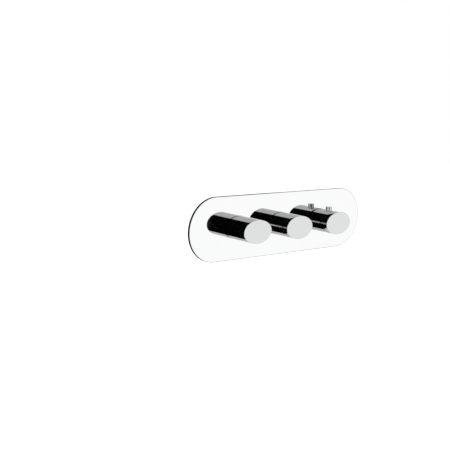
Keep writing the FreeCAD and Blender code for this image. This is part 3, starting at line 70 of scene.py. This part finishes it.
class Tree:
    """A node tree that is filled by short calls. Inputs may be numbers, tuples or other outputs."""

    def __init__(self, tree):
        self.tree = tree
        tree.nodes.clear()

    def node(self, kind, inputs=None, out=0, **settings):
        node = self.tree.nodes.new(kind)
        for name, value in settings.items():
            setattr(node, name, value)
        for key, value in (inputs or {}).items():
            if isinstance(value, bpy.types.NodeSocket):
                self.tree.links.new(value, node.inputs[key])
            else:
                node.inputs[key].default_value = value
        return node.outputs[out]

    def math(self, operation, a, b=0.0):
        return self.node("ShaderNodeMath", {0: a, 1: b}, operation=operation)

    def vector_math(self, operation, a, b):
        return self.node("ShaderNodeVectorMath", {0: a, 1: b}, operation=operation)

    def dot(self, vector, axis):
        return self.node("ShaderNodeVectorMath", {0: vector, 1: axis}, out="Value", operation="DOT_PRODUCT")

    def length(self, vector, axes):
        """The length of a vector when only the axes given as 1 count."""
        flat = self.vector_math("MULTIPLY", vector, axes)
        return self.node("ShaderNodeVectorMath", {0: flat}, out="Value", operation="LENGTH")

    def step(self, value, low, high, to_low=0.0, to_high=1.0):
        """Goes smoothly from to_low at low to to_high at high, and stays there outside."""
        return self.node("ShaderNodeMapRange", {"Value": value, "From Min": low, "From Max": high,
                                                "To Min": to_low, "To Max": to_high},
                         interpolation_type="SMOOTHSTEP")

    def between(self, value, low, low_full, high_full, high):
        """1 between the two inner limits, and 0 outside the two outer ones."""
        return self.math("MULTIPLY", self.step(value, low, low_full), self.step(value, high, high_full))

    def mix(self, share, a, b):
        """Mixes two colours."""
        node = self.tree.nodes.new("ShaderNodeMix")
        node.data_type = "RGBA"
        for index, value in ((0, share), (6, a), (7, b)):
            if isinstance(value, bpy.types.NodeSocket):
                self.tree.links.new(value, node.inputs[index])
            elif index == 0:
                node.inputs[index].default_value = value
            else:
                node.inputs[index].default_value = (*value[:3], 1)
        return node.outputs[2]

    def mix_values(self, share, a, b):
        """Mixes two numbers."""
        return self.node("ShaderNodeMix", {0: share, 2: a, 3: b}, data_type="FLOAT")

    def noise(self, vector, scale, detail=2.0, roughness=0.5):
        return self.node("ShaderNodeTexNoise", {"Vector": vector, "Scale": scale, "Detail": detail,
                                                "Roughness": roughness})

    def bump(self, height, strength, distance, normal=None):
        inputs = {"Height": height, "Strength": strength, "Distance": distance}
        if normal is not None:
            inputs["Normal"] = normal
        return self.node("ShaderNodeBump", inputs)


# ---------------------------------------------------------------------------------------------
# studio: a bright room with a greyer ceiling and dark areas before and behind the valve
# ---------------------------------------------------------------------------------------------

# How bright each part of the room is, as polished metal sees it.
PANEL = 1.455
CEILING = 0.8
LOWER = 0.92
BACK = 0.7
FRONT = 0.6
HORIZON = 0.2
CORNER = 0.05
FLAG = 0.002

# The black flag ends on the right at a plane that leans a little: this is the plane's normal.
FLAG_NORMAL = (-0.9936, 0.0, 0.1132)


def studio_reflection(tree, direction):
    """How bright the room is in each direction. The limits are components of a unit vector."""
    right = tree.dot(direction, X_AXIS)
    depth = tree.dot(direction, Y_AXIS)
    height = tree.dot(direction, Z_AXIS)

    room = tree.mix(tree.step(height, 0.02, 0.22), grey(PANEL), grey(CEILING))
    room = tree.mix(tree.step(height, -0.2, -0.5), room, grey(LOWER))
    room = tree.mix(tree.step(right, 0.78, 0.88), room, grey(CORNER))
    room = tree.mix(tree.step(right, -0.96, -0.98), room, grey(HORIZON))

    # In front, a grey area with a darker band lies inside the flag, a black ring.
    flagged = tree.step(tree.dot(direction, FLAG_NORMAL), -0.246, -0.222)
    inner = tree.math("MULTIPLY", flagged, tree.step(depth, -0.755, -0.77))
    band = tree.between(height, -0.3, -0.22, -0.12, -0.06)
    room = tree.mix(inner, room, tree.mix(band, grey(FRONT), grey(HORIZON)))
    front_ring = tree.between(depth, -0.77, -0.755, -0.62, -0.6)
    room = tree.mix(tree.math("MULTIPLY", flagged, front_ring), room, grey(FLAG))

    # Rays that pass beside the plate meet a like ring behind it, and it is black above there.
    back_ring = tree.between(depth, 0.7, 0.72, 0.785, 0.805)
    above = tree.math("MULTIPLY", tree.step(depth, 0.6, 0.62), tree.step(height, 0.35, 0.45))
    back = tree.mix(tree.math("MAXIMUM", back_ring, above), grey(BACK), grey(FLAG))
    return tree.mix(tree.step(depth, 0.2, 0.3), room, back)


world = bpy.data.worlds.new("studio")
bpy.context.scene.world = world
world.use_nodes = True
sky = Tree(world.node_tree)
DIFFUSE_LEVEL = 0.8
ray = sky.tree.nodes.new("ShaderNodeLightPath").outputs
seen = sky.math("MAXIMUM", ray["Is Camera Ray"], ray["Is Transmission Ray"])
mirrored = studio_reflection(sky, sky.node("ShaderNodeTexCoord", out="Generated"))
shown = sky.mix(ray["Is Glossy Ray"], grey(DIFFUSE_LEVEL), mirrored)
shown = sky.mix(seen, shown, grey(1.0))
background = sky.node("ShaderNodeBackground", {"Color": shown, "Strength": 1.0})
output = sky.tree.nodes.new("ShaderNodeOutputWorld")
sky.tree.links.new(background, output.inputs["Surface"])

# The floor lies well below the valve, which hangs on a wall that isn't shown. Polished metal sees through it.
FLOOR_Z = -0.5
FLOOR_REACH = 6
floor_corners = [(x * FLOOR_REACH, y * FLOOR_REACH, FLOOR_Z) for x, y in ((-1, -1), (1, -1), (1, 1), (-1, 1))]
floor_mesh = bpy.data.meshes.new("floor")
floor_mesh.from_pydata(floor_corners, [], [(0, 1, 2, 3)])
floor = bpy.data.objects.new("floor", floor_mesh)
bpy.context.scene.collection.objects.link(floor)
floor_material = bpy.data.materials.new("pale_floor")
floor_material.use_nodes = True
ground = Tree(floor_material.node_tree)
ray = ground.tree.nodes.new("ShaderNodeLightPath").outputs
speckle = ground.noise(ground.node("ShaderNodeTexCoord", out="Object"), 3.0, 3.0)
matt = ground.node("ShaderNodeBsdfDiffuse", {"Color": ground.mix(speckle, grey(0.93), grey(0.95))})
glow = ground.node("ShaderNodeEmission", {"Color": (1, 1, 1, 1), "Strength": 0.4})
glowing = ground.node("ShaderNodeAddShader", {0: matt, 1: glow})
lit = ground.node("ShaderNodeMixShader", {0: ray["Is Camera Ray"], 1: matt, 2: glowing})
see_through = ground.node("ShaderNodeBsdfTransparent")
floor_shader = ground.node("ShaderNodeMixShader", {0: ray["Is Glossy Ray"], 1: lit, 2: see_through})
output = ground.tree.nodes.new("ShaderNodeOutputMaterial")
ground.tree.links.new(floor_shader, output.inputs["Surface"])
floor_mesh.materials.append(floor_material)


def soft_lamp(name, place, target, size, power):
    """A round area lamp that polished metal doesn't mirror."""
    lamp = bpy.data.lights.new(name, "AREA")
    lamp.shape = "DISK"
    lamp.size = size
    lamp.energy = power
    item = bpy.data.objects.new(name, lamp)
    bpy.context.scene.collection.objects.link(item)
    item.location = place
    item.rotation_euler = (Vector(target) - Vector(place)).to_track_quat("-Z", "Y").to_euler()
    item.visible_glossy = False


LAMP_TARGET = (0, 0.02, 0)
soft_lamp("key", (-0.9, -1.5, 1.6), LAMP_TARGET, 1.2, 9)
soft_lamp("rear", (0.5, 1.6, 1.4), LAMP_TARGET, 1.4, 14)

# ---------------------------------------------------------------------------------------------
# materials, one builder for each kind of finish
# ---------------------------------------------------------------------------------------------

# The unit for the soft edges between two finishes.
EDGE = 0.0001

TURNING_PITCH = 0.00035

# A band texture repeats after one metre at this scale.
BAND_SCALE = 0.314


def new_material(name, metallic):
    material = bpy.data.materials.new(name)
    material.use_nodes = True
    tree = Tree(material.node_tree)
    shader = tree.tree.nodes.new("ShaderNodeBsdfPrincipled")
    shader.inputs["Metallic"].default_value = metallic
    out = tree.tree.nodes.new("ShaderNodeOutputMaterial")
    tree.tree.links.new(shader.outputs[0], out.inputs["Surface"])
    return material, tree, shader


def plug(tree, shader, name, value):
    tree.tree.links.new(value, shader.inputs[name])


def place_of(tree):
    return tree.node("ShaderNodeTexCoord", out="Object")


def painted_bevel_reflection(tree, spot):
    """1 on the narrow bevel round the front of the trim plate, where a dark reflection is painted, and 0
    elsewhere.
    """
    along = tree.dot(spot, X_AXIS)
    nearest = tree.math("MINIMUM", tree.math("MAXIMUM", along, -PLATE_ARC_X), PLATE_ARC_X)
    centre = tree.node("ShaderNodeCombineXYZ", {"X": nearest})
    distance = tree.length(tree.vector_math("SUBTRACT", spot, centre), (1, 0, 1))
    start = PLATE_RADIUS - BEVEL_WIDTH
    front = tree.step(tree.dot(spot, Y_AXIS), PLATE_FRONT_Y + 4 * EDGE, PLATE_FRONT_Y + 2 * EDGE)
    return tree.math("MULTIPLY", tree.step(distance, start - EDGE, start + EDGE), front)


def painted_foot_shadow(tree, spot):
    """1 on the band at the foot of each flow knob where the gap's shadow is painted, and 0 elsewhere."""
    outer = -0.0055
    inner = -0.0043
    foot = tree.between(tree.dot(spot, Y_AXIS), outer - EDGE, outer + EDGE, inner - EDGE, inner + EDGE)
    flow_side = tree.step(tree.dot(spot, X_AXIS), FLOW_KNOBS_END_X + EDGE, FLOW_KNOBS_END_X)
    return tree.math("MULTIPLY", foot, flow_side)


def chrome():
    """Mirror polish with painted shade: darker reflections on the knobs' ends and the plate's bevel, and a
    shadow at the flow knobs' feet.
    """
    material, tree, shader = new_material("polished_chrome", 1.0)
    spot = place_of(tree)
    # The knobs' flat ends get a darker base colour: a painted darker reflection.
    painted_dark_ends = tree.step(tree.dot(spot, Y_AXIS), KNOB_END_Y + 5 * EDGE, KNOB_END_Y + EDGE)
    haze = tree.noise(spot, 22.0, 4.0, 0.6)
    wipe = tree.noise(spot, 160.0, 2.0)
    polished = tree.mix(haze, (0.645, 0.647, 0.651), (0.667, 0.668, 0.67))
    # Painted dark reflection along the plate's bevel.
    painted_edge_shade = tree.mix(painted_bevel_reflection(tree, spot), polished, (0.2, 0.2, 0.203))
    # Painted shadow of the gap at the flow knobs' feet.
    painted_edge_shade = tree.mix(painted_foot_shadow(tree, spot), painted_edge_shade, (0.06, 0.06, 0.061))
    plug(tree, shader, "Base Color", tree.mix(painted_dark_ends, painted_edge_shade, (0.51, 0.512, 0.515)))
    plug(tree, shader, "Roughness", tree.step(tree.math("MULTIPLY", haze, wipe), 0.1, 0.5, 0.012, 0.045))
    return material


def lathe_lines(tree, spot, axis):
    """Fine turning marks round an axis, as relief."""
    wave = tree.node("ShaderNodeTexWave", {"Vector": spot, "Scale": BAND_SCALE / TURNING_PITCH,
                                           "Distortion": 0.6, "Detail": 2.0, "Detail Scale": 4.0},
                     wave_type="BANDS", bands_direction=axis, wave_profile="SIN")
    return tree.bump(wave, 0.12, 0.00005)


def turned_metal(name, low, high, roughness):
    material, tree, shader = new_material(name, 1.0)
    spot = place_of(tree)
    cloud = tree.noise(spot, 90.0, 4.0, 0.6)
    plug(tree, shader, "Base Color", tree.mix(cloud, low, high))
    plug(tree, shader, "Roughness", tree.step(cloud, 0.3, 0.7, roughness - 0.05, roughness + 0.06))
    plug(tree, shader, "Normal", lathe_lines(tree, spot, "Y"))
    shader.inputs["Anisotropic"].default_value = 0.4
    return material


def thread_relief(tree, spot, centres, sign, below):
    """Rings like a thread's inside upright bores that open up (sign 1) or down (-1), over another relief.

    The rings are twice as far apart as half_pitch.
    """
    half_pitch = 0.001814
    radius = 0.0096
    start = 0.0285
    height = tree.math("MULTIPLY", tree.dot(spot, Z_AXIS), float(sign))
    inside = tree.step(height, start, start + 3 * EDGE)
    near = 0.0
    for x, y in centres:
        distance = tree.length(tree.vector_math("ADD", spot, (-x, -y, 0)), (1, 1, 0))
        near = tree.math("MAXIMUM", near, tree.step(distance, radius, radius - EDGE))
    zigzag = tree.math("PINGPONG", tree.math("MULTIPLY", height, 1.0 / half_pitch), 1.0)
    rings = tree.math("MULTIPLY", tree.math("MULTIPLY", zigzag, inside), near)
    return tree.bump(rings, 1.0, 0.0008, below)


def cast_brass():
    """Bead-blasted casting with machined faces and thread rings in its two outlets."""
    material, tree, shader = new_material("cast_brass", 1.0)
    spot = place_of(tree)
    normal = tree.node("ShaderNodeNewGeometry", out="Normal")
    grain = tree.noise(spot, 1500.0, 3.0, 0.7)
    cloud = tree.noise(spot, 45.0, 4.0, 0.6)
    depth = tree.dot(spot, Y_AXIS)
    height = tree.dot(spot, Z_AXIS)
    level = tree.step(tree.math("ABSOLUTE", tree.dot(normal, Y_AXIS)), 0.97, 0.99)
    upright = tree.step(tree.math("ABSOLUTE", tree.dot(normal, Z_AXIS)), 0.97, 0.99)
    at_sockets = tree.step(depth, SOCKET_FACE_Y + 5 * EDGE, SOCKET_FACE_Y + 2 * EDGE)
    at_back = tree.step(depth, BODY_BACK_Y - 4 * EDGE, BODY_BACK_Y - EDGE)
    at_ports = tree.step(height, PORT_TOP_Z - 5 * EDGE, PORT_TOP_Z - 2 * EDGE)
    front_faces = tree.math("MULTIPLY", level, at_sockets)
    back_faces = tree.math("MULTIPLY", level, at_back)
    port_faces = tree.math("MULTIPLY", upright, at_ports)
    machined = tree.math("MAXIMUM", tree.math("MAXIMUM", front_faces, back_faces), port_faces)
    blasted = tree.mix(cloud, (0.60, 0.45, 0.235), (0.70, 0.54, 0.29))
    plug(tree, shader, "Base Color", tree.mix(machined, blasted, (0.80, 0.63, 0.35)))
    plug(tree, shader, "Roughness", tree.mix_values(machined, tree.step(cloud, 0.3, 0.7, 0.42, 0.54), 0.22))
    blast = tree.bump(tree.mix_values(machined, grain, 0.5), 0.5, 0.0002)
    plug(tree, shader, "Normal", thread_relief(tree, spot, OUTLETS, 1, blast))
    return material


def connector_brass():
    """Turned brass with thread rings in its mouth."""
    material, tree, shader = new_material("connector_brass", 1.0)
    spot = place_of(tree)
    cloud = tree.noise(spot, 90.0, 4.0, 0.6)
    plug(tree, shader, "Base Color", tree.mix(cloud, (0.72, 0.55, 0.29), (0.82, 0.64, 0.36)))
    plug(tree, shader, "Roughness", tree.step(cloud, 0.3, 0.7, 0.2, 0.32))
    lines = lathe_lines(tree, spot, "Z")
    plug(tree, shader, "Normal", thread_relief(tree, spot, (HOT_INLET, COLD_INLET), -1, lines))
    return material


def rolled_steel(name, low, high, roughness):
    material, tree, shader = new_material(name, 1.0)
    spot = place_of(tree)
    streaks = tree.noise(tree.vector_math("MULTIPLY", spot, (4.0, 60.0, 60.0)), 18.0, 3.0, 0.6)
    spangle = tree.node("ShaderNodeTexVoronoi", {"Vector": spot, "Scale": 160.0}, out="Distance")
    both = tree.math("ADD", tree.math("MULTIPLY", streaks, 0.7), tree.math("MULTIPLY", spangle, 0.3))
    plug(tree, shader, "Base Color", tree.mix(both, low, high))
    plug(tree, shader, "Roughness", tree.step(both, 0.25, 0.75, roughness - 0.07, roughness + 0.08))
    plug(tree, shader, "Normal", tree.bump(streaks, 0.15, 0.00008))
    return material


def moulded(name, low, high, roughness, grain_scale, depth):
    material, tree, shader = new_material(name, 0.0)
    spot = place_of(tree)
    grain = tree.noise(spot, grain_scale, 3.0, 0.6)
    cloud = tree.noise(spot, 70.0, 3.0, 0.5)
    plug(tree, shader, "Base Color", tree.mix(cloud, low, high))
    plug(tree, shader, "Roughness", tree.step(cloud, 0.3, 0.7, roughness - 0.06, roughness + 0.06))
    plug(tree, shader, "Normal", tree.bump(grain, 0.3, depth))
    return material


finishes = {
    "polished_chrome": chrome(),
    "cast_brass": cast_brass(),
    "turned_brass": turned_metal("turned_brass", (0.72, 0.55, 0.29), (0.82, 0.64, 0.36), 0.27),
    "steel": rolled_steel("zinc_steel", (0.50, 0.51, 0.53), (0.68, 0.69, 0.70), 0.36),
    "spring_steel": rolled_steel("spring_steel", (0.48, 0.48, 0.49), (0.60, 0.60, 0.61), 0.28),
    "rubber": moulded("seal_rubber", (0.018, 0.018, 0.019), (0.032, 0.032, 0.033), 0.62, 900.0, 0.0001),
    "black_plastic": moulded("black_acetal", (0.035, 0.035, 0.037), (0.055, 0.055, 0.058),
                             0.42, 1200.0, 0.00006),
    "ceramic": moulded("lapped_ceramic", (0.84, 0.83, 0.79), (0.90, 0.89, 0.86), 0.14, 1800.0, 0.00002),
    "copper": turned_metal("drawn_copper", (0.66, 0.36, 0.24), (0.78, 0.47, 0.33), 0.25),
}
connectors = connector_brass()

for entry in frame["record"]["subparts"]:
    node = frame["nodes"][entry["node"]]
    material = finishes[entry["material_slot"]]
    if entry["node"].endswith("inlet_connector"):
        material = connectors
    for material_slot in node.material_slots:
        material_slot.material = material
    if not node.material_slots:
        node.data.materials.append(material)

# ---------------------------------------------------------------------------------------------
# springs: each spring's mesh is copied into a coil object of its own and baked in place, and the part is
# hidden; the bodies and ends listed with it are not used
# ---------------------------------------------------------------------------------------------

CHECK_SPRING_Z = (-0.007, -0.0185)
BUTTON_SPRING_Z = (0.00858, 0.01408)
RETURN_SPRING_Y = (0.064, 0.0485)

for name, held_by, pressed_by, ends in (
        ("button_spring", "temperature", "button", [(THERMO_X, BUTTON_Y, z) for z in BUTTON_SPRING_Z]),
        ("return_spring", "valve", "regulator", [(THERMO_X, y, 0.0) for y in RETURN_SPRING_Y]),
        ("hot_check_spring", "valve", "hot_check", [(*HOT_INLET, z) for z in CHECK_SPRING_Z]),
        ("cold_check_spring", "valve", "cold_check", [(*COLD_INLET, z) for z in CHECK_SPRING_Z])):
    coil = bpy.data.objects.new(f"{name}_coil", frame["nodes"][name].data.copy())
    bpy.context.scene.collection.objects.link(coil)
    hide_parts(name)
    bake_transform(coil)

# ---------------------------------------------------------------------------------------------
# camera: the angle, the distance and the lens of the photograph, for a square frame
# ---------------------------------------------------------------------------------------------

YAW = math.radians(41.17)
PITCH = math.radians(9.46)
ROLL = math.radians(2.53)
FOCAL_PIXELS = 922.6
PHOTO_WIDTH_PIXELS = 450
SENSOR_WIDTH = 36
PLATE_FRONT = Vector((0.0, PLATE_FRONT_Y, 0.0))

# Where the plate's front lies from the camera: right, down and ahead.
OFFSET = Vector((1.773, -0.056, 29.491)) * PLATE_RADIUS

facing = Matrix(((1, 0, 0), (0, 0, -1), (0, 1, 0)))
turn_yaw = Matrix(((math.cos(YAW), 0, -math.sin(YAW)), (0, 1, 0), (math.sin(YAW), 0, math.cos(YAW))))
turn_pitch = Matrix(((1, 0, 0),
                     (0, math.cos(PITCH), -math.sin(PITCH)),
                     (0, math.sin(PITCH), math.cos(PITCH))))
turn_roll = Matrix(((math.cos(ROLL), -math.sin(ROLL), 0), (math.sin(ROLL), math.cos(ROLL), 0), (0, 0, 1)))
from_camera = (turn_roll @ turn_pitch @ turn_yaw @ facing).transposed()

camera_data = bpy.data.cameras.new("camera")
camera_data.sensor_fit = "HORIZONTAL"
camera_data.sensor_width = SENSOR_WIDTH
camera_data.lens = SENSOR_WIDTH * FOCAL_PIXELS / PHOTO_WIDTH_PIXELS
camera_data.clip_end = 50
camera = bpy.data.objects.new("camera", camera_data)
bpy.context.scene.collection.objects.link(camera)
axes = from_camera @ Matrix(((1, 0, 0), (0, -1, 0), (0, 0, -1)))
camera.matrix_world = Matrix.Translation(PLATE_FRONT - from_camera @ OFFSET) @ axes.to_4x4()
bpy.context.scene.camera = camera

bpy.context.scene.view_settings.view_transform = "Standard"
